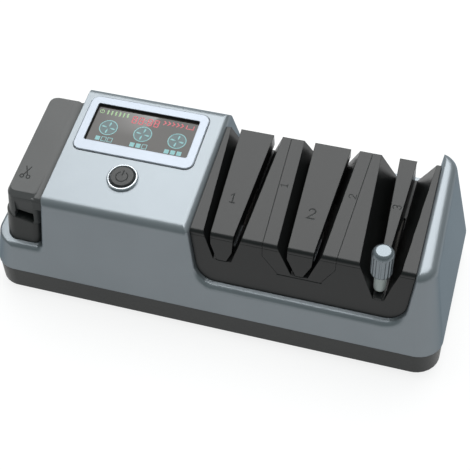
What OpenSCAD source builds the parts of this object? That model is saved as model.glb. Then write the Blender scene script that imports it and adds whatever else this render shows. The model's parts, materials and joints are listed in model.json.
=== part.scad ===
// Electric knife sharpener with two grinding stages, a polishing stage and a scissor slot.
// Seen from the front: +X to the right, +Y to the back, +Z up, origin under the base's middle.

/* [Body] */
// Length of the silver body where it meets the base
body_len = 293; // [285:1:300]
// Depth of the silver body where it meets the base
body_depth = 122; // [118:1:126]
// Height of the dark base band, with the feet
base_h = 18.5; // [16:0.5:20]
// Radius of the body's upright corners
corner_r = 16; // [12:1:20]
// Wall thickness of the mouldings
wall = 2.5; // [2:0.1:3]

/* [Top] */
// Slope of the top down to the front, in degrees
tilt = 8; // [6:0.5:10]
// Width of the raised console
console_w = 93; // [90:1:96]
// Rounding of the top's edges
edge_r = 7; // [5:0.5:8]

/* [Controls] */
// Diameter of the power button
button_d = 15.6; // [14:0.2:17]
// Travel of the power button
button_travel = 1.2; // [0.8:0.1:1.5]
// Diameter of the fluted knob
knob_d = 13.2; // [12:0.2:14]
// Height of the fluted cap
knob_h = 19.6; // [17:0.2:21]
// Turn of the knob from rest to its stop, in degrees
knob_turn = 50; // [30:1:55]

/* [Display] */
// Length of the display window
window_w = 68.5; // [60:0.5:72]
// Depth of the display window
window_d = 30; // [26:0.5:32]

/* [Sharpening] */
// Depth of the two grinding channels below the top
channel_depth = 18; // [17:0.5:19]
// Radius of the grinding discs
disc_r = 26; // [24:0.5:27]
// Radius of the polishing discs
polish_r = 23; // [21:0.5:24]
// Thickness of a disc
disc_t = 2.4; // [2:0.1:2.8]
// Height of the main shaft above the table
shaft_z = 42; // [41:0.5:43]
// Radius of the main shaft
shaft_r = 4; // [3.5:0.1:4.5]

/* [Hidden] */
$fn = 64;
foot_h = 1.5;
deck_y = -45.4;
deck_z = 79.3;
deck_v = 83;                      // length of the flat top, along its slope
face_y = -body_depth/2;
draft = 10;                       // lean of the front and end faces
back_draft = 13.8;
front_angle = draft + tilt;       // between the front face and the top's normal
back_angle = back_draft - tilt;   // between the back face and the top's normal
// foot of the front face, and where both faces would meet the top, in the top's frame
front_foot = (deck_y - face_y)*sin(tilt) - (deck_z - base_h)*cos(tilt);
front_v = (face_y - deck_y)*cos(tilt) - (deck_z - base_h)*sin(tilt) - front_foot*tan(front_angle);
back_v = deck_v + edge_r*tan((90 - back_angle)/2);
module_n = -3;                    // the black module's top, below the console's
module_inset = 4.3;               // the module's front, behind the silver face
module_back = 10.3;               // the same at the back
module_edge_r = 3;
module_v = 79;                    // length of the black top, along its slope
pocket_n = -38.2;                 // floor of the saddle
slot_n = module_n - channel_depth;
polish_n = slot_n - 4.8;
cassette_n = slot_n - 1.4;        // underside of the cassette
shaft_y = -5.8;
button_x = -62.5;
button_v = 23.1;
window_x = -62.75;
window_v = 61.5;
frame_v = 60.3;                   // middle of the display frame
frame_w = 79.7;
frame_d = 44;
knob_x = 104.2;
knob_y = -44.4;
stem_z = 54.5;                    // foot of the knob's stem
stem_r = 3.8;
cap_z = 70.5;                     // lower end of the fluted cap
board_n = -12;
board_t = 1.6;
console_x0 = -106.9;
console_x1 = console_x0 + console_w;
fit = 0.05;
gap = 0.15;
rim_r = 2.6;                      // rounding of the openings' edges in the front face
notch_r = 4;                      // inner corner beside the ledge of the scissor module
spindle_r = 1.4;

// x places of each stage's edges: [outer left, block left, block right, outer right]
stage_1 = [[-3.6, 1.0, 15.2, 20.4], [-8.9, -2.4, 19.0, 24.7]];   // front, back, at the top
floor_1 = [[2.6, 4.9, 11.6, 14.7], [-1.9, 1.2, 15.4, 18.2]];     // front, back, at the floor
stage_2 = [[41.9, 48.4, 64.2, 69.3], [38.7, 45.6, 68.4, 74.1]];
floor_2 = [[51.1, 54.2, 59.1, 62.2], [48.0, 51.2, 62.8, 66.0]];
stage_3 = [[91.2, 103.0, 106.2, 116.2], [87.6, 98.9, 109.7, 121.7]];
floor_3 = [[101.2, 102.6, 107.0, 108.6], [98.2, 99.4, 109.4, 110.8]];
knee_1 = [7, 11];                 // upright upper part of each block's sides
knee_2 = [7, 9];
knee_3 = [2, 2];
seam = [[33.2, 77.9], [30.5, 82.0]];
seam_floor = [[43.3, 70.1], [40.4, 74.0]];
bays = [[0.6, 16.2], [49.4, 65.0], [99.6, 109.4]];   // room for each stage's discs

// ---------- frames and outlines ----------

// The top's own frame: x along the body, y up its slope, z along its normal
module on_deck(v = 0, n = 0) {
    translate([0, deck_y, deck_z]) rotate([tilt, 0, 0]) translate([0, v, n]) children();
}

// The front face's own frame: y up the face, z out of it
module on_front() {
    translate([0, face_y, base_h]) rotate([90 - draft, 0, 0]) children();
}

// The back face's own frame: y up the face, z out of it
module on_back() {
    translate([0, -face_y, base_h]) rotate([-90 + back_draft, 0, 0]) mirror([0, 1, 0]) children();
}

// Arc of points that rounds corner b of the path a, b, c with radius r
function unit(v) = v/norm(v);
function corner(a, b, c, r, steps = 8) =
    let (u = unit(a - b), w = unit(c - b), half = acos(u*w)/2,
         centre = b + unit(u + w)*r/sin(half), first = b + u*r/tan(half) - centre,
         last = b + w*r/tan(half) - centre)
    [for (i = [0:steps]) let (q = unit(first*(1 - i/steps) + last*i/steps)) centre + q*r];

// Outline with each point p[i] rounded by r[i]; a radius of 0 leaves it sharp
function outline(p, r) =
    [for (i = [0:len(p) - 1])
        each r[i] > 0 ? corner(p[(i + len(p) - 1)%len(p)], p[i], p[(i + 1)%len(p)], r[i])
                      : [p[i]]];

function rounded_rect(w, d, r) =
    outline([[-w/2, -d/2], [w/2, -d/2], [w/2, d/2], [-w/2, d/2]], [r, r, r, r]);

// Body through outlines in the planes y = vs[0], vs[1] and so on. A strip's outline runs
// out along one side and back along the other.
module loft(outlines, vs, strip = false) {
    k = len(outlines[0]);
    last = (len(vs) - 1)*k;
    cap = strip ? [for (i = [0:k/2 - 2]) [i, k - 1 - i, k - 2 - i, i + 1]]
                : [[for (i = [k - 1:-1:0]) i]];
    polyhedron(
        points = [for (j = [0:len(vs) - 1]) for (p = outlines[j]) [p[0], vs[j], p[1]]],
        faces = concat(cap, [for (f = cap) [for (i = [len(f) - 1:-1:0]) f[i] + last]],
                       [for (j = [0:k:last - 1], i = [0:k - 1])
                        each [[j + (i + 1)%k, j + k + i, j + i],
                              [j + k + (i + 1)%k, j + k + i, j + (i + 1)%k]]]));
}

function mix(a, b, t) = a*(1 - t) + b*t;

// Cross-section through the saddle, in the top's frame; grow widens it
function saddle(grow = 0) =
    outline([[-13.9 - grow, 8], [-6.2 - grow, pocket_n - grow], [121.4 + grow, pocket_n - grow],
             [125.7 + grow, 8]],
            [0, 13 + grow, 13 + grow, 0]);

// The same with the silver body's upper edges rounded over
function soft_saddle(grow = 0) =
    let (left = [-12.6 - grow, 0], right = [125 + grow, 0], low = pocket_n - grow,
         a = [-6.2 - grow, low], b = [121.4 + grow, low],
         left_edge = corner([-60, 0], left, a, 5 - grow),
         right_edge = corner(b, right, [160, 0], 2.8 - grow, 4))
    concat([[left_edge[0][0], 8]], left_edge, corner(left, a, b, 13 + grow),
           corner(a, b, right, 13 + grow), right_edge, [[right_edge[4][0], 8]]);

// Round-edged disc that shapes one upper corner of the body
module corner_puck(plan_r, r) {
    rotate_extrude($fn = 48) {
        translate([0, -r]) square([plan_r - r, r]);
        intersection() {
            translate([plan_r - r, -r]) circle(r, $fn = 32);
            translate([0, -r]) square([plan_r, r]);
        }
    }
}

// The silver body's outside up to the level top_n, inset by t, its upper edges rounded by r
module body_form(t = 0, top_n = 0, r = edge_r, plan_r = 13) {
    first_v = front_v + top_n*tan(front_angle) + r*tan((90 - front_angle)/2);
    last_v = back_v - top_n*tan(back_angle) - r*tan((90 - back_angle)/2);
    hull() {
        translate([0, 0, base_h - (t > 0 ? 1 : 0)])
            linear_extrude(0.5)
                polygon(rounded_rect(body_len - 2*t, body_depth - 2*t, corner_r - t));
        for (side = [-1, 1], v = [first_v, last_v]) {
            h = deck_z + v*sin(tilt) + (top_n - r)*cos(tilt) - base_h;
            reach = body_len/2 - h*tan(draft) - r/cos(draft) - plan_r + r;
            on_deck(v + (v == first_v ? 1 : -1)*(plan_r - r), top_n - t)
                translate([side*reach, 0, 0]) corner_puck(plan_r - t, r - t);
        }
    }
}

// Room for the discs of one stage
module disc_bay(stage) {
    x = bays[stage - 1];
    r = stage == 3 ? polish_r : disc_r;
    translate([x[0], shaft_y, shaft_z]) rotate([0, 90, 0])
        cylinder(r = r + 1.2, h = x[1] - x[0]);
}

// Rounds the front edge of anything whose top lies at the module's level
module front_edge_cut() {
    tangent = module_edge_r*tan((90 - front_angle)/2);
    edge_v = front_v + module_n*tan(front_angle) + module_inset/cos(front_angle);
    on_deck(edge_v + tangent, module_n - module_edge_r)
        difference() {
            translate([-130, -12, 0]) cube([260, 12, 12]);
            translate([-131, 0, 0]) rotate([0, 90, 0]) cylinder(r = module_edge_r, h = 262);
        }
}

// Everything between the module's front, back and top faces
module module_slab() {
    intersection() {
        on_deck(-40, module_n - 80) translate([-140, 0, 0]) cube([280, 160, 80]);
        on_front() translate([-140, -20, -140]) cube([280, 120, 140 - module_inset]);
        on_back() translate([-140, -20, -160]) cube([280, 120, 160 - module_back]);
    }
}

// ---------- silver housing and base ----------

module screw_posts() {
    for (x = [-112, -40, 112], side = [-1, 1]) translate([x, side*44, 0]) children();
}

module base_tray() {
    color("#2f3332") difference() {
        translate([0, 0, foot_h]) linear_extrude(base_h - foot_h)
            polygon(rounded_rect(body_len - 1.2, body_depth - 1.2, corner_r - 0.6));
        translate([0, 0, foot_h + 3]) linear_extrude(base_h)
            polygon(rounded_rect(body_len - 7.2, body_depth - 7.2, corner_r - 3.6));
        screw_posts() cylinder(r = 1.7, h = 20, center = true);
        screw_posts() translate([0, 0, -1]) cylinder(r = 3.6, h = foot_h + 2.6);
        for (x = [-128, 128], y = [-46, 46]) translate([x, y, 0]) cylinder(r = 7, h = foot_h + 1);
        // stepped clean-out opening and the motor's vents
        cleanout_place() linear_extrude(foot_h + 1.6) square([74, 34], center = true);
        cleanout_place() linear_extrude(20) square([68, 28], center = true);
        for (i = [0:4]) translate([-114.5 + i*5.5, -20, 0]) cube([2.5, 28, 20]);
    }
}

module cleanout_place() {
    translate([67, -5, 0]) children();
}

module rubber_feet() {
    color("#1c1d1d") for (x = [-128, 128], y = [-46, 46]) translate([x, y, 0])
        rotate_extrude() polygon([[0, 0], [6, 0], [6.8, 0.8], [6.8, foot_h + 1], [0, foot_h + 1]]);
}

module base_screws() {
    color("#9a9c9d") screw_posts() difference() {
        union() {
            translate([0, 0, foot_h + 0.4]) cylinder(r = 3.2, h = 1.2);
            translate([0, 0, foot_h + 1.6]) cylinder(r = 1.5, h = 24);
        }
        translate([0, 0, foot_h]) cylinder(r = 1.3, h = 1.1, $fn = 6);
    }
}

// Outline of the notch left of the console, down to the ledge, in the top's frame
function notch(grow = 0) =
    outline([[-170, 30], [-170, pocket_n - grow], [console_x0 - 2.8 + grow, pocket_n - grow],
             [console_x0 + grow, 0], [console_x0 + grow, 30]],
            [0, 0, notch_r + grow, 0, 0]);

module scissor_space(grow = 0) {
    on_deck(120) rotate([90, 0, 0]) linear_extrude(160) polygon(notch(grow));
}

// Everything that is cut away above the ledge, whose outer edge is rounded
module above_ledge() {
    difference() {
        on_deck(120, pocket_n - rim_r - 1) translate([-170, -160, 0])
            cube([170 + console_x0 - 2.8 - notch_r, 200, 60]);
        body_form(-0.08, pocket_n, rim_r, 14.6);
    }
}

module upper_housing() {
    color("#b4bec6") difference() {
        union() {
            difference() {
                body_form();
                difference() {
                    body_form(wall);
                    // saddle flanges behind the front and back faces
                    intersection() {
                        on_deck(110) rotate([90, 0, 0]) linear_extrude(150)
                            polygon(soft_saddle(wall));
                        union() {
                            on_front() translate([-40, -10, -9]) cube([190, 90, 20]);
                            on_back() translate([-40, -10, -14]) cube([190, 90, 20]);
                            on_deck(0, -12) translate([-40, -30, 0]) cube([190, 150, 30]);
                        }
                    }
                    // the console's left wall and the ledge under the scissor module
                    difference() {
                        scissor_space(wall);
                        translate([-160, -70, -20]) cube([60, 140, 50]);
                    }
                }
            }
            // posts for the base screws
            screw_posts() translate([0, 0, base_h - 4]) cylinder(r = 4, h = 14);
            for (x = [-112, -40, 112], side = [-1, 1])
                translate([x - 1, side*51 - 7, base_h + 2]) cube([2, 14, 8]);
            // posts for the control board
            board_posts() translate([0, 0, board_n]) cylinder(r = 3, h = -board_n - 1);
        }
        on_deck(110) rotate([90, 0, 0]) linear_extrude(180) polygon(soft_saddle());
        scissor_space();
        above_ledge();
        front_rim([for (g = rim_steps) saddle(g[0])]);
        front_rim([for (g = rim_steps) notch(g[0])]);
        screw_posts() translate([0, 0, base_h - 5]) cylinder(r = 1.5 + fit, h = 14);
        board_posts() translate([0, 0, board_n - 1]) cylinder(r = 1 + fit, h = 6);
        // seats of the display frame, the window and the button's ring
        on_deck(frame_v, -1.2) translate([window_x, 0, 0]) linear_extrude(10)
            polygon(rounded_rect(frame_w + 4*gap, frame_d + 4*gap, 5.7));
        on_deck(window_v, -10) translate([window_x, 0, 0]) linear_extrude(20)
            polygon(rounded_rect(window_w + 2, window_d + 2, 1.5));
        on_deck(button_v, -20) translate([button_x, 0, 0]) cylinder(r = 9.1, h = 30);
        // opening for the power inlet
        inlet_place() translate([-12.75, -7.75, -10]) cube([25.5, 15.5, 20]);
    }
}

// How far the rounding of an opening widens it at each depth below the front face
rim_steps = concat([[rim_r, -3]],
                   [for (a = [0:18:72]) [rim_r*(1 - sin(a)), rim_r*(1 - cos(a))]],
                   [[-0.1, rim_r + 0.4]]);

// Rounds over the front edge of an opening, from its outlines at the depths in rim_steps
module front_rim(outlines) {
    depths = [for (g = rim_steps) g[1]];
    function on_face(p, depth) =
        [p[0], (p[1] - front_foot + depth*sin(front_angle))/cos(front_angle)];
    on_front() rotate([-90, 0, 0])
        loft([for (i = [0:len(depths) - 1]) [for (p = outlines[i]) on_face(p, depths[i])]], depths);
}

// ---------- console: display and button ----------

module display_frame() {
    color("#ccd3da") on_deck(frame_v) translate([window_x, 0, -1.2]) difference() {
        union() {
            linear_extrude(1.7) polygon(rounded_rect(frame_w, frame_d, 5.4));
            translate([0, 0, 1.7]) linear_extrude(0.4)
                polygon(rounded_rect(frame_w - 0.8, frame_d - 0.8, 5));
        }
        translate([0, window_v - frame_v, -1]) linear_extrude(5)
            polygon(rounded_rect(window_w, window_d, 1));
    }
}

module display_lens() {
    color("#5d5957") on_deck(window_v) translate([window_x, 0, -2.4])
        linear_extrude(1.2) polygon(rounded_rect(window_w + 1.6, window_d + 1.6, 1.2));
}

module display_panel() {
    color("#23282a") on_deck(window_v) translate([window_x, 0, 0]) {
        translate([0, 0, -6]) linear_extrude(3.5) polygon(rounded_rect(66, 29, 1));
        translate([-30, -10, board_n]) for (x = [0, 56]) translate([x, 0, 0]) cube([4, 20, 6]);
    }
}

module board_posts() {
    on_deck() for (x = [-101.3, -24.2], v = [10, 80.3]) translate([x, v, 0]) children();
}

module control_board() {
    color("#2c5a3c") on_deck() difference() {
        translate([-104, 6, board_n - board_t]) cube([83, 76.5, board_t]);
        for (x = [-101.3, -24.2], v = [10, 80.3]) translate([x, v, board_n - 3])
            cylinder(r = 1.2, h = 6);
    }
}

module board_screws() {
    color("#9a9c9d") board_posts() translate([0, 0, board_n - board_t]) {
        translate([0, 0, -1.4]) cylinder(r = 2.2, h = 1.4);
        cylinder(r = 1, h = 5);
    }
}

module tact_switch() {
    color("#202222") on_deck(button_v) translate([button_x, 0, board_n]) {
        translate([-3, -3, 0]) cube([6, 6, 3.4]);
        cylinder(r = 1.7, h = 3.8);
    }
}

module button_ring() {
    color("#cfd5da") on_deck(button_v) translate([button_x, 0, 0]) rotate_extrude()
        polygon([[button_d/2 + 0.3, -5], [9, -5], [9, 0], [9.9, 0], [9.9, 1.0], [9.3, 1.8],
                 [8.7, 1.9], [button_d/2 + 0.3, 1.2]]);
}

module power_button() {
    color("#2b2c2c") on_deck(button_v) translate([button_x, 0, 0]) rotate_extrude() {
        difference() {
            polygon([[0, -2.5], [button_d/2, -2.5], [button_d/2, 1.7],
                     [button_d/2 - 0.8, 2.5], [0, 2.7]]);
            translate([1.7, -4]) square([4.6, 5]);
        }
        translate([0, board_n + 3.8 + button_travel + 0.1])
            square([1.7, -board_n - 3.8 - button_travel]);
    }
}

// ---------- scissor sharpener ----------

// Outside of the scissor module, in the top's frame
module scissor_form(bulge = 0) {
    // corners of each ring: [n, front, back, left, right front, right back, radii]
    rings = [[module_n - 0.2, 1.2, 77.3, -131, -113, -115.3, 4.6, 1.6],
             [module_n - 2.8, -2.2, 79.6, -132.4, -109.9, -109.9, 6, 4],
             [pocket_n, -12.9, 86, -134.6, -110, -110, 8, 7]];
    hull() for (k = rings, end = [0, 1]) on_deck(0, k[0]) {
        translate([k[3] + k[6] - bulge, end == 0 ? k[1] + k[6] : k[2] - k[6], 0])
            cylinder(r = k[6], h = 0.2, $fn = 32);
        translate([k[4 + end] - k[7], end == 0 ? k[1] + k[7] : k[2] - k[7], 0])
            cylinder(r = k[7], h = 0.2, $fn = 32);
    }
}

// Section of the band beside the console, its groove at x
function band_section(x) =
    [[x - 2, -12], [x - 0.2, -12], [x, -12], [-109.5, -12], [-107.9, -12],
     [console_x0 - 0.4, -2.4], [-109.4, -3.7], [x, -3.7], [x - 0.2, -4.7], [x - 2, -4.7]];

// Everything below the parting line of the scissor module, raised by rise
module below_parting(rise = 0) {
    on_deck(100) rotate([90, 0, 0]) linear_extrude(130)
        polygon([[-145, -60], [-100, -60], [-100, -26 + rise], [-145, -17.2 + rise]]);
}

module scissor_base() {
    color("#3a3c3b") difference() {
        intersection() { scissor_form(1.3); below_parting(); }
        // clear of the housing's rounded corner
        on_deck(100) rotate([90, 0, 0]) linear_extrude(130)
            polygon([[-114.6, pocket_n - 1], [-108, pocket_n - 1], [-108, pocket_n + 5.6]]);
        scissor_rod_holes();
    }
}

module scissor_cap() {
    color("#4c4d4d") difference() {
        union() {
            difference() { scissor_form(); below_parting(); }
            // band between the cap and the console, behind a narrow groove
            difference() {
                intersection() {
                    on_deck() loft([band_section(-112.6), band_section(-114.9)], [-12, 77.3],
                                   strip = true);
                    module_slab();
                }
                front_edge_cut();
            }
        }
        // slot for the scissor blade
        intersection() {
            below_parting(4.5);
            on_deck() translate([-127, -30, -40]) cube([12.2, 85, 40]);
        }
        // front panel, leaning in towards the slot
        on_deck() translate([-126.3, 0, 0]) rotate([90, 0, 90]) linear_extrude(12)
            polygon([[-2.9, -7], [-20, -7], [-20, -22], [-4.3, -22]]);
        scissor_rod_holes();
    }
}

module scissor_rod_holes() {
    scissor_rod_places() cylinder(r = 1.8 + fit, h = 20, center = true);
}

module scissor_rod_places() {
    on_deck() for (v = [8, 20]) translate([-120, v, -20]) rotate([0, 11, 0]) children();
}

module scissor_rods() {
    color("#d9d4c8") scissor_rod_places() translate([0, 0, -7]) cylinder(r = 1.8, h = 14);
}

// ---------- sharpening module ----------

// Outline at v, carried on in a straight line from its shapes at the front and the back
function section_at(front, back, v) =
    [for (i = [0:len(front) - 1]) front[i] + (back[i] - front[i])*v/module_v];

// Body that tapers from one outline at the front to another at the back
module tapered(front, back) {
    vs = [-25, 0, 20, 40, 60, 80, 110];
    on_deck() loft([for (v = vs) section_at(front, back, v)], vs);
}

// Channel cut of a stage, its walls carried on above the top
module channel(top, floor_x, n) {
    rise = 8/(module_n - n);
    function walls(e) = let (t = top[e], f = floor_x[e])
        [[t[0] + (t[0] - f[0])*rise, module_n + 8], [f[0], n], [f[3], n],
         [t[3] + (t[3] - f[3])*rise, module_n + 8]];
    tapered(walls(0), walls(1));
}

// Guide block of a stage, with upright upper sides and sloping lower ones
module block_form(top, floor_x, n, knee) {
    function sides(e) = let (t = top[e], f = floor_x[e])
        [[t[1], module_n], [t[1], module_n - knee[0]], [f[1], n], [f[2], n],
         [t[2] - 0.4, module_n - knee[1]], [t[2], module_n]];
    intersection() { tapered(sides(0), sides(1)); module_slab(); }
}

module cassette_form(grow = 0) {
    knee = module_n - 8;
    function walls(e) = let (t = seam[e], f = seam_floor[e])
        [[t[0] - grow, module_n + 4], [t[0] - grow, knee], [f[0] - grow, cassette_n],
         [f[1] + grow, cassette_n], [t[1] + grow, knee], [t[1] + grow, module_n + 4]];
    tapered(walls(0), walls(1));
}

module module_frame() {
    color("#4a4b4b") difference() {
        intersection() {
            on_deck(110) rotate([90, 0, 0]) linear_extrude(150) polygon(saddle(-gap));
            module_slab();
        }
        front_edge_cut();
        channel(stage_1, floor_1, slot_n);
        channel(stage_3, floor_3, polish_n);
        cassette_form(gap);
        // hollow underside
        on_deck() translate([0.5, -3, -60]) cube([88, 81, 60 + slot_n - 4]);
        on_deck() translate([85, -3, -60]) cube([28.5, 81, 60 + polish_n - 2.6]);
        disc_bay(1);
        disc_bay(2);
        disc_bay(3);
        along_shaft(-15) cylinder(r = 8, h = 140);
        // room and bore for the knob's pinion and shaft
        translate([98, knob_y - 4.2, 38]) cube([15.5, 20, 10.5]);
        knob_axis() translate([0, 0, 40]) cylinder(r = spindle_r + fit, h = 20);
        front_seam(floor_1[0][1], floor_1[0][2], slot_n);
        front_seam(seam_floor[0][0] - 0.5, seam_floor[0][1] + 0.5, cassette_n);
    }
}

// Groove in the front face below a part that stands between x0 and x1 at the level n
module front_seam(x0, x1, n) {
    intersection() {
        on_deck(-40, n - 0.4) translate([x0, 0, 0]) cube([x1 - x0, 80, 0.4]);
        on_front() translate([-140, -20, -module_inset - 0.6]) cube([280, 120, 20]);
    }
}

module stage_2_cassette() {
    color("#505151") difference() {
        intersection() {
            cassette_form();
            module_slab();
        }
        front_edge_cut();
        channel(stage_2, floor_2, slot_n);
        disc_bay(2);
        front_seam(floor_2[0][1], floor_2[0][2], slot_n);
    }
}

module guide_block_1() {
    color("#565757") difference() {
        block_form(stage_1, floor_1, slot_n, knee_1);
        front_edge_cut();
        disc_bay(1);
    }
}

module guide_block_2() {
    color("#565757") difference() {
        block_form(stage_2, floor_2, slot_n, knee_2);
        front_edge_cut();
        disc_bay(2);
    }
}

module polish_guide() {
    color("#565757") difference() {
        block_form(stage_3, floor_3, polish_n, knee_3);
        // sloping nose and the seat in front of it that carries the knob
        on_deck() rotate([90, 0, 90]) translate([0, 0, 80]) linear_extrude(50)
            polygon([[-30, polish_n + 1.1], [4, polish_n + 1.1], [8, -13], [8, 5], [-30, 5]]);
        disc_bay(3);
        knob_axis() translate([0, 0, stem_z - 0.15]) cylinder(r = stem_r + 0.8, h = 6);
        knob_axis() translate([0, 0, 40]) cylinder(r = spindle_r + fit, h = 20);
    }
}

// ---------- springs ----------

// Thin bent strip that holds a blade against the outer wall; side is 1 for a right slot
module blade_spring(top, floor_x, depth, knee, side, v0, v1, bow) {
    e = side > 0 ? 2 : 1;
    rest = side > 0 ? 1 : 0;
    thickness = 0.45;
    seat = 0.05;                  // between the strip and the guide that it lies on
    low = 0.95*depth;
    high = max(0.45*depth, knee[rest]);
    function edge_x(v, t) = mix(t[0][e], t[1][e], v/module_v);
    function side_x(v, down) = mix(edge_x(v, top) - rest*0.4, edge_x(v, floor_x),
                                   (down - knee[rest])/(depth - knee[rest]));
    function leaf(v, off) = [for (i = [0:8]) let (down = mix(high, low, i/8))
        [side_x(v, down) + side*bow*sin(i*22.5) + off, module_n - down]];
    function back(p) = [for (i = [len(p) - 1:-1:0]) p[i]];
    near = side > 0 ? seat : -thickness - seat;
    function ends(v) = concat(leaf(v, near), back(leaf(v, near + thickness)));
    on_deck() loft([ends(v0), ends(v1)], [v0, v1], strip = true);
}

module blade_springs_1() {
    color("#b9bcbe") for (side = [-1, 1])
        blade_spring(stage_1, floor_1, channel_depth, knee_1, side, 0, 16, 0.9);
}

module blade_springs_2() {
    color("#b9bcbe") for (side = [-1, 1])
        blade_spring(stage_2, floor_2, channel_depth, knee_2, side, 0, 16, 0.9);
}

module polish_springs() {
    color("#b9bcbe") for (side = [-1, 1])
        blade_spring(stage_3, floor_3, module_n - polish_n, knee_3, side, 9, 17, 0.9);
}

// ---------- knob and dresser ----------

module knob_axis() {
    translate([knob_x, knob_y, 0]) children();
}

module knob_cap() {
    flutes = 18;
    color("#8b99a3") knob_axis() translate([0, 0, cap_z]) difference() {
        rotate_extrude() polygon([[0, 0], [knob_d/2 - 1.6, 0], [knob_d/2 - 0.4, 0.6],
            [knob_d/2, 1.8], [knob_d/2, knob_h - 2.6], [knob_d/2 - 0.8, knob_h - 1],
            [knob_d/2 - 2.3, knob_h], [0, knob_h]]);
        for (i = [0:flutes - 1]) rotate([0, 0, i*360/flutes])
            translate([knob_d/2 + 0.55, 0, -1]) cylinder(r = 1, h = knob_h - 2, $fn = 20);
        translate([0, 0, -1]) cylinder(r = 2.6, h = 9);
    }
}

module knob_stem() {
    color("#c3cbc8") knob_axis() {
        translate([0, 0, stem_z]) rotate_extrude()
            polygon(concat([for (a = [0:15:90]) stem_r*[sin(a), 1 - cos(a)]],
                           [[stem_r, cap_z - stem_z], [2.6, cap_z - stem_z],
                            [2.6, cap_z - stem_z + 8], [0, cap_z - stem_z + 8]]));
        translate([0, 0, rack_z]) cylinder(r = spindle_r, h = stem_z - rack_z + 1);
    }
}

pinion_teeth = 8;
tooth = 0.8;                      // module of the teeth
pinion_r = pinion_teeth*tooth/2;
pitch = PI*tooth;
rack_z = 42;
rack_x = knob_x + pinion_r;       // pitch line of the rack
rack_back = rack_x + 4;
pad_y = shaft_y - polish_r - 0.5 - pinion_r*knob_turn*PI/180;

// One straight-flanked tooth along +X, from its root to its tip
module gear_tooth(root, tip, root_w, tip_w) {
    polygon([[root, -root_w], [tip, -tip_w], [tip, tip_w], [root, root_w]]);
}

module knob_pinion() {
    color("#d8d8d2") knob_axis() translate([0, 0, rack_z]) linear_extrude(5) difference() {
        union() {
            circle(pinion_r - tooth);
            for (i = [0:pinion_teeth - 1]) rotate((i + 0.5)*360/pinion_teeth)
                gear_tooth(pinion_r - 1.2*tooth, pinion_r + 0.7*tooth, 0.34*pitch, 0.11*pitch);
        }
        circle(spindle_r);
    }
}

module dresser_rack() {
    color("#d8d8d2") translate([0, 0, rack_z]) linear_extrude(5) {
        translate([rack_x + 1.1*tooth, knob_y - 3.5]) square([rack_back - rack_x - 1.1*tooth, 14.6]);
        for (i = [-1:2]) translate([rack_x, knob_y + i*pitch]) rotate(180)
            gear_tooth(-1.3*tooth, 0.55*tooth, 0.35*pitch, 0.09*pitch);
        translate([98.5, pad_y - 4.4]) square([rack_back - 98.5, 3.2]);
    }
}

module dresser_pad() {
    color("#8a5f4a") translate([99, pad_y - 1.2, rack_z]) cube([10.2, 1.2, 5]);
}

module dresser_guide() {
    color("#5c5f60") {
        translate([rack_back + 0.1, knob_y - 3, rack_z - 1]) cube([113.5 - rack_back - 0.1, 11, 7]);
        translate([rack_x + 1.4, knob_y - 3, rack_z - 1]) cube([4, 11, 0.9]);
    }
}

// ---------- drive ----------

module along_shaft(x = 0) {
    translate([x, shaft_y, shaft_z]) rotate([0, 90, 0]) children();
}

module ring(r_out, r_in, h) {
    difference() {
        cylinder(r = r_out, h = h);
        translate([0, 0, -1]) cylinder(r = r_in, h = h + 2);
    }
}

module motor_can() {
    color("#8f9496") along_shaft(-92) ring(21, 19.6, 54);
}

module motor_front_cap() {
    color("#a3a8aa") along_shaft(-38) {
        difference() {
            union() { cylinder(r = 21, h = 3); cylinder(r = 7, h = 6); }
            translate([0, 0, -1]) cylinder(r = 3 + fit, h = 9);
        }
    }
}

module motor_rear_cap() {
    color("#a3a8aa") along_shaft(-95) difference() {
        cylinder(r = 21, h = 3);
        translate([0, 0, -1]) cylinder(r = 3 + fit, h = 9);
        for (i = [0:5]) rotate(i*60) translate([12, 0, -1]) cylinder(r = 3, h = 5);
    }
}

module motor_magnets() {
    color("#3c3a3a") along_shaft(-86) intersection() {
        ring(19.6, 15.5, 40);
        for (s = [-1, 1]) translate([s*14, 0, 20]) cube([14, 26, 44], center = true);
    }
}

module motor_cradle() {
    color("#55595a") difference() {
        union() {
            for (x = [-86, -52]) translate([x, shaft_y - 30, foot_h + 3]) cube([8, 60, 20]);
            translate([-88, shaft_y - 30, foot_h + 3]) cube([46, 60, 2.5]);
        }
        along_shaft(-100) cylinder(r = 21, h = 80);
        strap_holes() cylinder(r = 1.5 + fit, h = 30);
    }
}

module strap_holes() {
    for (x = [-82, -48], s = [-1, 1]) translate([x, shaft_y + s*26, 12]) children();
}

module motor_strap() {
    color("#7d8284") difference() {
        for (x = [-86, -52]) {
            intersection() {
                along_shaft(x) ring(22.5, 21, 8);
                translate([x, shaft_y - 30, shaft_z]) cube([8, 60, 30]);
            }
            for (s = [-1, 1]) translate([x, shaft_y, foot_h + 23]) {
                translate([0, s*21.75 - 0.75, 0]) cube([8, 1.5, shaft_z - foot_h - 23]);
                translate([0, s*25.25 - 4.25, 0]) cube([8, 8.5, 2]);
            }
        }
        strap_holes() cylinder(r = 1.6, h = 30);
    }
}

module strap_screws() {
    color("#b5b7b8") strap_holes() {
        cylinder(r = 1.5, h = foot_h + 13);
        translate([0, 0, foot_h + 13]) cylinder(r = 2.6, h = 1.8);
    }
}

left_bearing_x = -22;
right_bearing_x = 124.5;

module bearing_blocks() {
    color("#4b4f50") for (x = [left_bearing_x, right_bearing_x]) difference() {
        union() {
            translate([x, shaft_y - 8, foot_h + 3]) cube([7, 16, shaft_z - foot_h - 3]);
            along_shaft(x) cylinder(r = 8, h = 7);
            translate([x, shaft_y - 17, foot_h + 3]) cube([7, 34, 4]);
        }
        along_shaft(x - 1) cylinder(r = 6, h = 9);
        for (s = [-1, 1]) translate([x + 3.5, shaft_y + s*12.8, foot_h])
            cylinder(r = 1.6, h = 12);
    }
}

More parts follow.
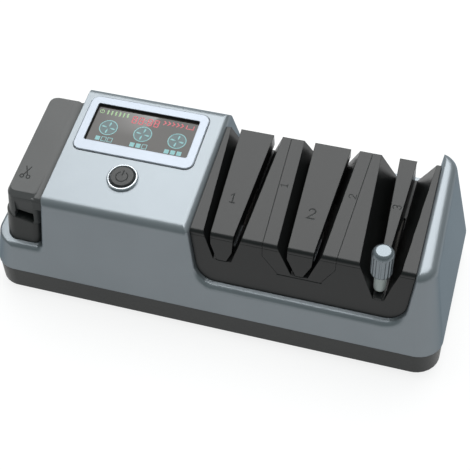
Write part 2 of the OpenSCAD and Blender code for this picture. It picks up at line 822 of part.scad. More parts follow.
module bushing(x) {
    color("#b08a52") along_shaft(x - 0.6) {
        ring(6, shaft_r + fit, 8.2);
        ring(7, shaft_r + fit, 0.6);
    }
}

module left_bushing() { bushing(left_bearing_x); }
module right_bushing() { bushing(right_bearing_x); }

module bearing_screws() {
    color("#b5b7b8") for (x = [left_bearing_x, right_bearing_x], s = [-1, 1])
        translate([x + 3.5, shaft_y + s*12.8, 0]) {
            translate([0, 0, foot_h + 3]) cylinder(r = 1.5, h = 4);
            translate([0, 0, foot_h + 7]) cylinder(r = 3, h = 2);
        }
}

module rotor() {
    color("#7a7d7f") {
        along_shaft(-104) cylinder(r = 3, h = 76);
        along_shaft(-84) cylinder(r = 14.5, h = 36);
        along_shaft(-46) cylinder(r = 7, h = 5);
    }
}

module cooling_fan() {
    blades = 7;
    color("#3f4243") along_shaft(-103.6) difference() {
        union() {
            cylinder(r = 6, h = 7.6);
            for (i = [0:blades - 1]) rotate(i*360/blades)
                translate([5, -0.8, 1]) rotate([28, 0, 0]) translate([0, 0, -1]) cube([13, 1.4, 8]);
        }
        translate([0, 0, -5]) cylinder(r = 3, h = 20);
    }
}

module shaft_coupling() {
    color("#2f3132") along_shaft(-31) difference() {
        cylinder(r = 8.5, h = 7.6);
        translate([0, 0, -1]) cylinder(r = 3, h = 4);
        translate([0, 0, 3]) cylinder(r = shaft_r, h = 6);
    }
}

module main_shaft() {
    color("#c9cdd0") along_shaft(-28) cylinder(r = shaft_r, h = 163);
}

// x of each disc's sharpening face, left and right
face_1 = [1.4, 15.4];
face_2 = [50.4, 64.1];
face_3 = [100.3, 108.7];

module disc(x, r, hub, c) {
    color(c) along_shaft(x) difference() {
        union() {
            cylinder(r = r, h = disc_t, $fn = 96);
            translate([0, 0, hub < 0 ? hub : 0]) cylinder(r = 9, h = disc_t + abs(hub));
        }
        translate([0, 0, -10]) cylinder(r = shaft_r, h = 20);
    }
}

module coarse_disc_left() { disc(face_1[0], disc_r, 1.5, "#6f6a64"); }
module coarse_disc_right() { disc(face_1[1] - disc_t, disc_r, -1.5, "#6f6a64"); }
module fine_disc_left() { disc(face_2[0], disc_r, 1.5, "#8c8a86"); }
module fine_disc_right() { disc(face_2[1] - disc_t, disc_r, -1.5, "#8c8a86"); }
module polish_disc_left() { disc(face_3[0], polish_r, 0.6, "#b9b2a0"); }
module polish_disc_right() { disc(face_3[1] - disc_t, polish_r, -0.6, "#b9b2a0"); }

module disc_spacers() {
    inner = [1.5, 1.5, 0.6];
    faces = [face_1, face_2, face_3];
    color("#a9adb0") {
        for (i = [0:2]) let (a = faces[i][0] + disc_t + inner[i], b = faces[i][1] - disc_t - inner[i])
            along_shaft(a) ring(6, shaft_r, b - a);
        along_shaft(face_1[1]) ring(6, shaft_r, face_2[0] - face_1[1]);
        along_shaft(face_2[1]) ring(6, shaft_r, face_3[0] - face_2[1]);
    }
}

module shaft_collars() {
    color("#b5b7b8") {
        along_shaft(left_bearing_x + 8.2) ring(7, shaft_r, face_1[0] - left_bearing_x - 8.2);
        along_shaft(face_3[1]) ring(7, shaft_r, right_bearing_x - 1 - face_3[1]);
    }
}

// ---------- power inlet, covers and fasteners ----------

module inlet_place() {
    on_back() translate([-70, 16, 0]) children();
}

module power_inlet() {
    color("#1f2121") inlet_place() difference() {
        union() {
            translate([-12.6, -7.6, -14]) cube([25.2, 15.2, 14]);
            translate([-15, -10, -wall - 3.2]) cube([30, 20, 3]);
        }
        translate([0, 0, -10]) linear_extrude(12) {
            for (s = [-1, 1]) translate([s*3.9, 0]) circle(4);
            translate([-3.9, -4]) square([7.8, 8]);
        }
    }
}

module inlet_pins() {
    color("#c8b27a") inlet_place() for (s = [-1, 1]) translate([s*4.3, 0, -10])
        cylinder(r = 1.15, h = 8.5);
}

module cleanout_cover() {
    color("#353938") cleanout_place() difference() {
        union() {
            translate([0, 0, foot_h + 0.1]) linear_extrude(1.5) square([73.4, 33.4], center = true);
            translate([0, 0, foot_h + 1.6]) linear_extrude(1.8) square([67.4, 27.4], center = true);
        }
        for (i = [-2.5:2.5]) translate([i*10 - 1, -11, 0]) cube([2, 22, foot_h + 0.7]);
    }
}

module dust_magnet() {
    color("#5a5c5e") cleanout_place() for (x = [-22, 22])
        translate([x - 7, -4, foot_h + 3.4]) cube([14, 8, 3]);
}

base_tray();
rubber_feet();
upper_housing();
display_frame();
display_lens();
display_panel();
control_board();
board_screws();
tact_switch();
button_ring();
power_button();
scissor_base();
scissor_cap();
scissor_rods();
module_frame();
stage_2_cassette();
guide_block_1();
guide_block_2();
polish_guide();
blade_springs_1();
blade_springs_2();
polish_springs();
motor_can();
motor_front_cap();
motor_rear_cap();
motor_magnets();
motor_cradle();
motor_strap();
strap_screws();
bearing_blocks();
left_bushing();
right_bushing();
bearing_screws();
rotor();
cooling_fan();
shaft_coupling();
main_shaft();
coarse_disc_left();
coarse_disc_right();
fine_disc_left();
fine_disc_right();
polish_disc_left();
polish_disc_right();
disc_spacers();
shaft_collars();
power_inlet();
inlet_pins();
knob_cap();
knob_stem();
knob_pinion();
dresser_rack();
dresser_pad();
dresser_guide();
base_screws();
cleanout_cover();
dust_magnet();
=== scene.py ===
"""Looks, light and camera of the electric knife sharpener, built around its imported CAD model."""

import json
import math

import bmesh
import bpy
from mathutils import Matrix, Vector
from mathutils.bvhtree import BVHTree


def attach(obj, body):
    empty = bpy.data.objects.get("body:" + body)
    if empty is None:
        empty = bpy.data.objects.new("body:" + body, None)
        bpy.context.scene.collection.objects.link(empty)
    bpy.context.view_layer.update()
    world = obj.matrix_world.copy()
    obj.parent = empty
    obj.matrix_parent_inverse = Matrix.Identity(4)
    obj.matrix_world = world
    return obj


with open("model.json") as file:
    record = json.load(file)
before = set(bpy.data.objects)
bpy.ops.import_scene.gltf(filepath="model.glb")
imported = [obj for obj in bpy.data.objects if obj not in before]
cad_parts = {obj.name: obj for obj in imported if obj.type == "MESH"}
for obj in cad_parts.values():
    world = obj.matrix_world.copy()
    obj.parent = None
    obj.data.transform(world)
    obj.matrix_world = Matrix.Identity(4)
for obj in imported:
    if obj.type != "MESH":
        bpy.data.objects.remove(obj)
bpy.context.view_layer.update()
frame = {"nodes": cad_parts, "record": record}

MM = 0.001

# The top's own frame: x along the body, y up its slope, z along its normal
DECK_SLOPE = math.radians(8)
DECK = Matrix.Translation((0, -45.4 * MM, 79.3 * MM)) @ Matrix.Rotation(DECK_SLOPE, 4, "X")


def add_object(name, data):
    """An object made from this data, in the scene."""
    thing = bpy.data.objects.new(name, data)
    bpy.context.scene.collection.objects.link(thing)
    return thing


# ---------- shader nodes ----------

MIX_A, MIX_B, MIX_RESULT = 6, 7, 2  # a Mix node's colour sockets, whose names others share
NOISE_LOW, NOISE_HIGH = 0.3, 0.7  # the range that holds nearly all of a noise


def put(tree, value, socket):
    """Links an output to the socket, or sets the socket to a plain value."""
    if isinstance(value, bpy.types.NodeSocket):
        tree.links.new(value, socket)
    else:
        socket.default_value = value


def new_node(tree, kind, **values):
    """A shader node; values whose names are inputs go to them, and the rest are its settings."""
    node = tree.nodes.new("ShaderNode" + kind)
    for name, value in values.items():
        label = name.replace("_", " ")
        match = next((s for s in node.inputs if s.name.lower() == label), None)
        if match is None:
            setattr(node, name, value)
        else:
            put(tree, value, match)
    return node


def pair_node(tree, kind, first, second, **settings):
    """A shader node whose first two inputs have the same name."""
    node = new_node(tree, kind, **settings)
    put(tree, first, node.inputs[0])
    put(tree, second, node.inputs[1])
    return node


def noise(tree, place, scale, detail=3.0):
    """A smooth noise around one half."""
    return new_node(tree, "TexNoise", vector=place, scale=scale, detail=detail).outputs["Fac"]


def remap(tree, value, start, end, low=0.0, high=1.0):
    """Maps a value from the range start to end to the range low to high."""
    node = new_node(tree, "MapRange", value=value, from_min=start, from_max=end, to_min=low,
                    to_max=high)
    return node.outputs["Result"]


def spread(tree, value, low=0.0, high=1.0):
    """Maps a noise to the range from low to high."""
    return remap(tree, value, NOISE_LOW, NOISE_HIGH, low, high)


def mix(tree, factor, first, second):
    """A colour that goes from the first to the second as the factor grows."""
    node = new_node(tree, "Mix", data_type="RGBA", factor=factor)
    put(tree, first, node.inputs[MIX_A])
    put(tree, second, node.inputs[MIX_B])
    return node.outputs[MIX_RESULT]


def larger(tree, first, second):
    """The larger of two values."""
    return pair_node(tree, "Math", first, second, operation="MAXIMUM").outputs[0]


def sum_of_shaders(name, first, second):
    """A material that adds two shaders; each is made by a function of the node tree."""
    material = bpy.data.materials.new(name)
    material.use_nodes = True
    tree = material.node_tree
    tree.nodes.clear()
    both = pair_node(tree, "AddShader", first(tree).outputs[0], second(tree).outputs[0])
    new_node(tree, "OutputMaterial", surface=both.outputs[0])
    return material


# ---------- materials ----------

MOTTLE_SCALE = 35
ROUGHNESS_SPREAD = 0.13  # how far the grain moves the roughness, as a share of it
BUMP_STRENGTH = 0.6
EDGE_RADIUS = 0.0006  # of the softened edges, in metres
RUBBED_HIGHLIGHT_START, RUBBED_HIGHLIGHT_FULL = 0.98, 0.8  # cosines of the angle between the soft and true normals, where an edge starts and ends being painted lighter, partly as wear and partly as a painted highlight

SYMBOL_DOTS = 2500  # scale of a display symbol's fine dots
SYMBOL_DARK, SYMBOL_LIGHT = 0.82, 1.12  # how much darker and lighter the dots are
SYMBOL_GLOW = 0.1
SYMBOL_ROUGHNESS = 0.2

SILVER_COLOUR = (0.267, 0.29, 0.31)
TRIM_COLOUR = (0.335, 0.362, 0.405)
KNOB_COLOUR = (0.205, 0.232, 0.252)
EDGE_TINT = (0.08, 0.18, 0.25, 1)  # how much of its shine the silver keeps at a low angle


def srgb(text):
    """Linear colour of a web colour such as #b4bec6."""
    parts = [int(text[i:i + 2], 16) / 255 for i in (1, 3, 5)]
    return tuple(c / 12.92 if c <= 0.04045 else ((c + 0.055) / 1.055) ** 2.4 for c in parts)


def shade(colour, factor):
    """The colour, made lighter or darker, with full alpha."""
    return (*(min(1.0, c * factor) for c in colour), 1.0)


def principled(name):
    """A material, with its node tree, its shader and the place on the object in that tree."""
    material = bpy.data.materials.new(name)
    material.use_nodes = True
    tree = material.node_tree
    place = new_node(tree, "TexCoord").outputs["Object"]
    return material, tree, tree.nodes["Principled BSDF"].inputs, place


def moulded(name, colour, roughness=0.45, mottle=0.04, grain=900, grain_depth=0.02, wear_and_highlight=1.25,
            **shader):
    """Plastic or paint: faint mottling, a fine grain, and softened edges painted lighter, partly
    as rubbing and partly as a painted edge highlight.

    mottle is the share by which the colour varies, grain the scale of the fine noise and
    grain_depth its height in mm, and wear_and_highlight how much lighter an edge is painted,
    partly as rubbing and partly as a painted highlight. The rest are the shader's own inputs.
    """
    material, tree, surface, place = principled(name)
    large = noise(tree, place, MOTTLE_SCALE)
    fine = noise(tree, place, grain, detail=2)
    soft = new_node(tree, "Bevel", samples=4, radius=EDGE_RADIUS).outputs["Normal"]
    true = new_node(tree, "NewGeometry").outputs["Normal"]
    agree = pair_node(tree, "VectorMath", soft, true, operation="DOT_PRODUCT").outputs["Value"]
    # edges painted lighter: partly rubbing, partly a painted highlight
    rubbed_and_highlit = remap(tree, agree, RUBBED_HIGHLIGHT_START, RUBBED_HIGHLIGHT_FULL)
    body = mix(tree, spread(tree, large), shade(colour, 1 - mottle), shade(colour, 1 + mottle))
    put(tree, mix(tree, rubbed_and_highlit, body, shade(colour, wear_and_highlight)), surface["Base Color"])
    low, high = (1 - ROUGHNESS_SPREAD) * roughness, (1 + ROUGHNESS_SPREAD) * roughness
    put(tree, spread(tree, fine, low, high), surface["Roughness"])
    bump = new_node(tree, "Bump", strength=BUMP_STRENGTH, distance=grain_depth * MM, height=fine,
                    normal=soft)
    put(tree, bump.outputs["Normal"], surface["Normal"])
    for label, value in shader.items():
        surface[label.replace("_", " ")].default_value = value
    return material


def lit(name, colour):
    """A display symbol: printed film that glows a little through its own fine dots."""
    material, tree, surface, place = principled(name)
    dots = spread(tree, noise(tree, place, SYMBOL_DOTS, detail=1))
    film = mix(tree, dots, shade(colour, SYMBOL_DARK), shade(colour, SYMBOL_LIGHT))
    put(tree, film, surface["Base Color"])
    put(tree, film, surface["Emission Color"])
    surface["Emission Strength"].default_value = SYMBOL_GLOW
    surface["Roughness"].default_value = SYMBOL_ROUGHNESS
    return material


SLOT_MATERIALS = {  # by the record's material slots
    "silver": moulded("silver_paint", SILVER_COLOUR, 0.34, mottle=0.02, grain=2600,
                      Metallic=0.6, Specular_Tint=EDGE_TINT),
    "silver_trim": moulded("silver_trim", TRIM_COLOUR, 0.34, mottle=0.02, grain=2600,
                           grain_depth=0.0, Metallic=0.6, Specular_Tint=EDGE_TINT),
    "button_ring": moulded("bright_ring", srgb("#c7ccd1"), 0.16, mottle=0.02, grain=1500,
                           Metallic=0.95),
    "base_plastic": moulded("base_plastic", srgb("#1a1d1c"), 0.42, grain=1400, grain_depth=0.03,
                            Specular_IOR_Level=0.42),
    "rubber": moulded("rubber", srgb("#1d1e1e"), 0.8, grain=700),
    "glass": moulded("smoked_glass", srgb("#37332f"), 0.03, mottle=0.01, grain=300,
                     grain_depth=0.0),
    "dark_parts": moulded("dark_moulding", srgb("#2b2d2d"), 0.5),
    "circuit_board": moulded("solder_mask", srgb("#2c5a3c"), 0.35, grain=500),
    "screw_steel": moulded("plated_steel", srgb("#a4a7a9"), 0.3, grain=1200, Metallic=0.95),
    "button_black": moulded("button_black", srgb("#232424"), 0.42, grain=1500),
    "scissor_black": moulded("scissor_black", srgb("#222524"), 0.38, grain=1400,
                             Specular_IOR_Level=0.42),
    "scissor_grey": moulded("scissor_grey", srgb("#5a5a5a"), 0.38, grain=1400,
                            Specular_IOR_Level=0.25),
    "ceramic": moulded("ceramic", srgb("#e0dacd"), 0.2, grain=400),
    "module_plastic": moulded("module_plastic", srgb("#161717"), 0.33, grain=1400,
                              grain_depth=0.025, Specular_IOR_Level=0.43),
    "spring_steel": moulded("spring_steel", srgb("#4b4e50"), 0.3, Metallic=0.9),
    "motor_steel": moulded("motor_steel", srgb("#9a9fa1"), 0.35, Metallic=0.9),
    "magnet": moulded("magnet", srgb("#3a3938"), 0.6),
    "inner_plastic": moulded("inner_plastic", srgb("#3c3f40"), 0.55),
    "bronze": moulded("bronze", srgb("#b08a52"), 0.4, Metallic=0.9),
    "shaft_steel": moulded("ground_steel", srgb("#c6c9cb"), 0.2, Metallic=1.0),
    "coarse_grit": moulded("coarse_grit", srgb("#4a4743"), 0.85, mottle=0.3, grain=5000,
                           grain_depth=0.2),
    "fine_grit": moulded("fine_grit", srgb("#5c5a57"), 0.8, mottle=0.2, grain=9000,
                         grain_depth=0.1),
    "polish_disc": moulded("polish_disc", srgb("#3a3734"), 0.9, mottle=0.15, grain=3000,
                           grain_depth=0.15),
    "brass": moulded("brass", srgb("#c8b27a"), 0.25, Metallic=1.0),
    "knob_metal": moulded("knob_paint", KNOB_COLOUR, 0.3, mottle=0.02, grain=2600, Metallic=0.75),
    "knob_stem": moulded("knob_stem", srgb("#eef3f0"), 0.4, grain=1500),
    "gear_plastic": moulded("gear_plastic", srgb("#d8d8d2"), 0.4),
    "dresser_stone": moulded("dresser_stone", srgb("#8a5f4a"), 0.9, mottle=0.3, grain=4000,
                             grain_depth=0.15),
}
# black sheet over the window's walls, which makes them dark
LINING = moulded("window_black_lining", srgb("#0b0c0c"), 0.7, wear_and_highlight=1.0)
# dark strokes of the marks: painted shade of their recess
PAINTED_RECESS_SHADE = moulded("mark_painted_recess_shade", srgb("#161717"), 0.7, wear_and_highlight=1.0)
# pale lower edges of the marks: a painted highlight
PAINTED_EDGE_HIGHLIGHT = moulded("mark_painted_edge_highlight", srgb("#5a5b5b"), 0.4, wear_and_highlight=1.0)
SYMBOL_CYAN = lit("symbol_cyan", srgb("#70a8aa"))
SYMBOL_TEAL = lit("symbol_teal", srgb("#3f5557"))
SYMBOL_GREEN = lit("symbol_green", srgb("#88a878"))
SYMBOL_RED = lit("symbol_red", srgb("#bb4350"))


# ---------- the CAD nodes ----------

SHARP_EDGE = 32  # degrees; facets that meet at less than this are shaded as one surface


def soften_normals(mesh):
    """Shades across the joints of small facets, and keeps every sharp edge."""
    def spot_of(index):
        return tuple(round(c, 6) for c in mesh.vertices[index].co)

    nearest = math.cos(math.radians(SHARP_EDGE))
    faces_at = {}
    for face in mesh.polygons:
        face.use_smooth = True
        for index in face.vertices:
            faces_at.setdefault(spot_of(index), []).append(face)
    normals = []
    for face in mesh.polygons:
        for index in face.vertices:
            total = Vector()
            for other in faces_at[spot_of(index)]:
                if other.normal.dot(face.normal) > nearest:
                    total += other.normal * other.area
            normals.append(total.normalized() if total.length else face.normal)
    mesh.normals_split_custom_set(normals)


def dress_nodes():
    """Gives every CAD node the material of its slot in the record, and softens its shading."""
    for part in frame["record"]["subparts"]:
        mesh = frame["nodes"][part["node"]].data
        mesh.materials.clear()
        mesh.materials.append(SLOT_MATERIALS[part["material_slot"]])
        soften_normals(mesh)


dress_nodes()


# ---------- outlines, in mm on a flat of their own ----------


def arc(centre, radius, start, end, steps=10):
    """Points on an arc, from one angle in degrees to another."""
    angles = [math.radians(start + (end - start) * i / steps) for i in range(steps + 1)]
    return [(centre[0] + radius * math.cos(a), centre[1] + radius * math.sin(a)) for a in angles]


def ring(centre, radius, steps=40):
    """Points on a full circle, the first of them not repeated."""
    return arc(centre, radius, 0, 360 - 360 / steps, steps - 1)


def moved(path, x=0.0, y=0.0, size=1.0, turn=0.0):
    """The path scaled, turned by degrees and then moved."""
    c, s = math.cos(math.radians(turn)) * size, math.sin(math.radians(turn)) * size
    return [(x + c * px - s * py, y + s * px + c * py) for px, py in path]


SHARPEST = 0.5  # the least cosine by which a line's corner is widened


def ribbon(path, width, closed=False):
    """Left and right edges of a line of this width along the path."""
    left, right = [], []
    count = len(path)
    for i, point in enumerate(path):
        before = path[i - 1] if i or closed else point
        after = path[(i + 1) % count] if i < count - 1 or closed else point
        steps = [Vector(b) - Vector(a) for a, b in ((before, point), (point, after)) if a != b]
        along = sum((s.normalized() for s in steps), Vector((0, 0))).normalized()
        lean = max(SHARPEST, along.dot(steps[0].normalized()))
        side = Vector((-along.y, along.x)) * width / 2 / lean
        left.append(Vector(point) + side)
        right.append(Vector(point) - side)
    return left, right


def round_end(centre, start, steps=6):
    """Half circle about an end of a line, without the points that it starts and ends at."""
    arm = Vector(start) - Vector(centre)
    return [Vector(centre) + Matrix.Rotation(math.pi * i / steps, 2) @ arm
            for i in range(1, steps)]


# ---------- thin shapes on the surfaces ----------

LIFT, SINK = 0.05, 0.25  # mm, how far a shape stands out of its carrier and reaches into it
RAY_START = 0.02  # metres above the deck, from where the carrier's surface is looked for


def mesh_object(name, mesh, materials):
    """An object made from a bmesh, which is used up."""
    bmesh.ops.recalc_face_normals(mesh, faces=mesh.faces)
    data = bpy.data.meshes.new(name)
    mesh.to_mesh(data)
    mesh.free()
    for material in materials:
        data.materials.append(material)
    return add_object(name, data)


class Relief:
    """Thin shapes laid on a CAD node's surface by their place on the deck, in one piece."""

    def __init__(self, name, node):
        self.name = name
        self.mesh = bmesh.new()
        self.materials = []
        carrier = frame["nodes"][node].data
        points = [DECK.inverted() @ v.co for v in carrier.vertices]
        self.surface = BVHTree.FromPolygons(points, [tuple(p.vertices) for p in carrier.polygons])

    def level(self, x, y):
        """Height of the surface at a point, all in mm."""
        hit = self.surface.ray_cast(Vector((x * MM, y * MM, RAY_START)), Vector((0, 0, -1)))[0]
        return hit.z / MM if hit else 0.0

    def vertex(self, point, lift):
        """Vertex at this height above the surface."""
        height = self.level(*point) + lift
        return self.mesh.verts.new(DECK @ (Vector((point[0], point[1], height)) * MM))

    def slab(self, outline, material, lift, hole=None):
        """Closed body over an outline that runs anticlockwise, less a hole of as many points."""
        if material not in self.materials:
            self.materials.append(material)
        count = len(outline)
        loops = [outline] if hole is None else [outline, hole]
        rims = [[[self.vertex(p, height) for p in loop] for height in (lift, -SINK)]
                for loop in loops]
        faces = []
        for inner, (upper, lower) in enumerate(rims):
            for i in range(count):
                j = (i + 1) % count
                wall = (upper[i], lower[i], lower[j], upper[j])
                faces.append(wall[::-1] if inner else wall)
        if hole is None:
            upper, lower = rims[0]
            faces += [upper, lower[::-1]]
        else:
            (top_out, low_out), (top_in, low_in) = rims
            for i in range(count):
                j = (i + 1) % count
                faces.append((top_out[i], top_out[j], top_in[j], top_in[i]))
                faces.append((low_out[j], low_out[i], low_in[i], low_in[j]))
        for face in faces:
            self.mesh.faces.new(face).material_index = self.materials.index(material)

    def line(self, path, width, material, lift=LIFT):
        """Line with round ends."""
        left, right = ribbon(path, width)
        outline = right + round_end(path[-1], right[-1]) + left[::-1] + round_end(path[0], left[0])
        self.slab([tuple(p) for p in outline], material, lift)

    def loop(self, path, width, material, lift=LIFT):
        """Closed line."""
        left, right = ribbon(path, width, closed=True)
        self.slab([tuple(p) for p in right], material, lift, [tuple(p) for p in left])

    def finish(self, body):
        """Puts the shapes in the scene, on their body."""
        piece = mesh_object(self.name, self.mesh, self.materials)
        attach(piece, body)


# ---------- marks pressed into the black tops, drawn as painted recess shade and painted highlight ---

NUMERALS = {  # strokes of each numeral, one unit high
    1: [[(-0.22, 0.3), (0.03, 0.5), (0.03, -0.5)], [(-0.2, -0.5), (0.26, -0.5)]],
    2: [arc((0, 0.22), 0.28, 165, -35) + [(-0.32, -0.5), (0.34, -0.5)]],
    3: [arc((0, 0.25), 0.25, 150, -90), arc((0, -0.24), 0.26, 90, -150)],
}
NUMERAL_STROKE = 0.12  # width of a numeral's strokes, as a share of its height
NUMERAL_PLACES = [  # piece, the CAD node that carries it, numeral, place, height and turn
    ("mark_block_1", "guide_block_1", 1, (7.0, 26.7), 6.4, 0),
    ("mark_block_2", "guide_block_2", 2, (56.2, 26.7), 7.0, 0),
    ("mark_cassette_1", "stage_2_cassette", 1, (34.9, 43.0), 4.2, 90),
    ("mark_cassette_2", "stage_2_cassette", 2, (77.0, 44.6), 4.4, 90),
    ("mark_guide_3", "polish_guide", 3, (104.4, 43.0), 5.0, 90),
]
SCISSORS_PLACE = (-124.3, 15.6)
SCISSOR_BLADES = [[(-1.7, 4.8), (1.3, -1.9)], [(1.7, 4.8), (-1.3, -1.9)]]
SCISSOR_HANDLES = [ring((side * 2.1, -2.9), 1.2) for side in (-1, 1)]
SCISSOR_STROKE = 0.6

MARK_GLINT = (0.22, -0.3)  # where a mark's pale lower edge, a painted highlight, lies from its dark stroke of painted recess shade
MARK_LIFT = 0.02
LAYER_STEP = 0.03  # mm from the painted highlight edges up to the dark strokes of painted shade
STROKE_STEP = 0.003  # mm from each stroke to the next, so that no two share a plane


def sunk_mark(name, node, lines, rings, width):
    """Mark pressed into a black top: dark strokes of painted recess shade, with a painted
    highlight along their lower edges.
    """
    relief = Relief(name, node)
    # the pale layer is a painted highlight, the dark one painted recess shade
    for layer, (shift, material) in enumerate([(MARK_GLINT, PAINTED_EDGE_HIGHLIGHT), ((0, 0), PAINTED_RECESS_SHADE)]):
        for i, path in enumerate(lines + rings):
            draw = relief.line if i < len(lines) else relief.loop
            lift = MARK_LIFT + LAYER_STEP * layer + STROKE_STEP * i
            draw(moved(path, *shift), width, material, lift)
    relief.finish("housing")


def sunk_marks():
    """The stages' numerals and the pair of scissors."""
    for name, node, numeral, (x, v), height, turn in NUMERAL_PLACES:
        lines = [moved(path, x, v, height, turn) for path in NUMERALS[numeral]]
        sunk_mark(name, node, lines, [], NUMERAL_STROKE * height)
    blades, handles = ([moved(path, *SCISSORS_PLACE) for path in paths]
                       for paths in (SCISSOR_BLADES, SCISSOR_HANDLES))
    sunk_mark("mark_scissors", "scissor_cap", blades, handles, SCISSOR_STROKE)


# ---------- power button ----------

POWER_PLACE = (-62.5, 22.7)
POWER_SIGN = [  # path and width of each stroke
    (arc((0, 0), 3.7, 122, 418, 24), 0.75),
    ([(0, 0.9), (0, 4.6)], 0.8),
]
POWER_LAYERS = [  # shift in x and up the slope, material and height: the painted highlight edge, then the dark stroke of painted shade
    (0.25, -0.35, PAINTED_EDGE_HIGHLIGHT, 0.03),
    (0, 0, PAINTED_RECESS_SHADE, 0.06),
]


def power_symbol():
    """Power sign on the button: dark strokes of painted recess shade with a painted highlight
    along their lower edge, as the marks have.
    """
    relief = Relief("button_symbol", "power_button")
    for dx, dv, material, lift in POWER_LAYERS:
        x, v = POWER_PLACE[0] + dx, POWER_PLACE[1] + dv
        for path, width in POWER_SIGN:
            relief.line(moved(path, x, v), width, material, lift)
    relief.finish("button")


# ---------- display ----------

DISC_LIFT, FILM_LIFT, BLADE_LIFT, STEM_LIFT = 0.015, 0.03, 0.035, 0.055  # no two share a plane

FAN_PLACES = [(-85.1, 59.9), (-61.9, 59.7), (-38.9, 59.4)]
FAN_BLADE = [(0.15, 0.9), (0.55, 2.2), (0.8, 3.6), (0.45, 4.5), (-0.3, 4.4), (-0.35, 2.4)]
FAN_TURN = -6  # degrees
FAN_DISC, FAN_RING = 5.6, 5.75  # radii
FAN_STROKE = 0.55
CELL = [(-1.5, -1.6), (1.5, -1.6), (1.5, 1.6), (-1.5, 1.6)]
CELL_STROKE = 0.4
CELL_PITCH, CELL_DROP = 4.1, 9.3  # from cell to cell, and from a fan's middle down to its cells

SEGMENTS = [  # bars of a seven-segment figure, two units wide and four high
    [(-0.75, 2), (0.75, 2)], [(-0.75, 0), (0.75, 0)], [(-0.75, -2), (0.75, -2)],
    [(-1, 0.25), (-1, 1.75)], [(1, 0.25), (1, 1.75)], [(-1, -1.75), (-1, -0.25)],
    [(1, -1.75), (1, -0.25)],
]
FIGURES_PLACE = (-63.2, 69.7)
FIGURE_SIZE, FIGURE_STROKE = 1.3, 0.75
FIGURE_STEPS = (-7.4, -2.9, 2.9, 7.4)
COLON_STEPS, COLON_RADIUS = (-1.3, 1.3), 0.5

POWER_ROW = (-93.4, 71.8)
ROW_ARC, ROW_STEM = arc((0, 0), 1.35, 120, 420, 16), [(0, 0.3), (0, 1.9)]
ROW_SIGN_STROKE = 0.5
BAR_COUNT, BAR_START, BAR_PITCH = 6, 4, 2.7
BAR_REACH, BAR_STROKE = 1.3, 1.1

CLEAN_ROW = (-50.6, 71.6)
CHEVRON = [(-0.8, 1.4), (0.6, 0), (-0.8, -1.4)]
CHEVRON_COUNT, CHEVRON_PITCH, CHEVRON_STROKE = 5, 2.9, 0.7
TRAY = [(0, 1.3), (0, -1.4), (4.6, -1.4), (4.6, 1.3)]
TRAY_START, TRAY_STROKE = 14.4, 0.6

WINDOW = (-62.75, 61.5, 68.5, 30)  # middle, width and depth of the display's window
WINDOW_CORNER = 1.0
LINING_FOOT, LINING_TOP = -1.19, 0.45  # mm from the deck's plane, the foot just above the lens
LINING_RIMS = [  # inset and height of each rim, from the outer foot round to the inner foot
    (0.03, LINING_FOOT), (0.03, LINING_TOP), (0.1, LINING_TOP), (0.5, LINING_FOOT),
]


def fan(relief, x, v, level):
    """Ring round a four-bladed fan, and below it three cells, filled as far as the level."""
    relief.slab(ring((x, v), FAN_DISC), SYMBOL_TEAL, DISC_LIFT)
    relief.loop(ring((x, v), FAN_RING), FAN_STROKE, SYMBOL_CYAN, FILM_LIFT)
    for quarter in range(4):
        blade = moved(FAN_BLADE, x, v, turn=90 * quarter + FAN_TURN)
        relief.slab(blade, SYMBOL_CYAN, BLADE_LIFT)
    for step in range(3):
        cell = moved(CELL, x + (step - 1) * CELL_PITCH, v - CELL_DROP)
        if step <= level:
            relief.slab(cell, SYMBOL_CYAN, FILM_LIFT)
        else:
            relief.loop(cell, CELL_STROKE, SYMBOL_CYAN, FILM_LIFT)


def figure_block(relief, x, v):
    """Four seven-segment figures with a colon."""
    for step in FIGURE_STEPS:
        for bar in SEGMENTS:
            relief.line(moved(bar, x + step, v, FIGURE_SIZE), FIGURE_STROKE, SYMBOL_RED)
    for step in COLON_STEPS:
        relief.slab(ring((x, v + step), COLON_RADIUS, 12), SYMBOL_RED, LIFT)


def power_row(relief, x, v):
    """Power sign and a row of short bars."""
    relief.line(moved(ROW_ARC, x, v), ROW_SIGN_STROKE, SYMBOL_GREEN)
    relief.line(moved(ROW_STEM, x, v), ROW_SIGN_STROKE, SYMBOL_GREEN, STEM_LIFT)
    for i in range(BAR_COUNT):
        bar_x = x + BAR_START + i * BAR_PITCH
        relief.line([(bar_x, v - BAR_REACH), (bar_x, v + BAR_REACH)], BAR_STROKE, SYMBOL_GREEN)


def clean_row(relief, x, v):
    """Row of chevrons that points at a tray."""
    for i in range(CHEVRON_COUNT):
        relief.line(moved(CHEVRON, x + i * CHEVRON_PITCH, v), CHEVRON_STROKE, SYMBOL_RED)
    relief.line(moved(TRAY, x + TRAY_START, v), TRAY_STROKE, SYMBOL_RED)


def display_symbols():
    """All symbols on the display's glass, in one piece."""
    relief = Relief("display_symbols", "display_lens")
    for level, place in enumerate(FAN_PLACES):
        fan(relief, *place, level)
    figure_block(relief, *FIGURES_PLACE)
    power_row(relief, *POWER_ROW)
    clean_row(relief, *CLEAN_ROW)
    relief.finish("housing")


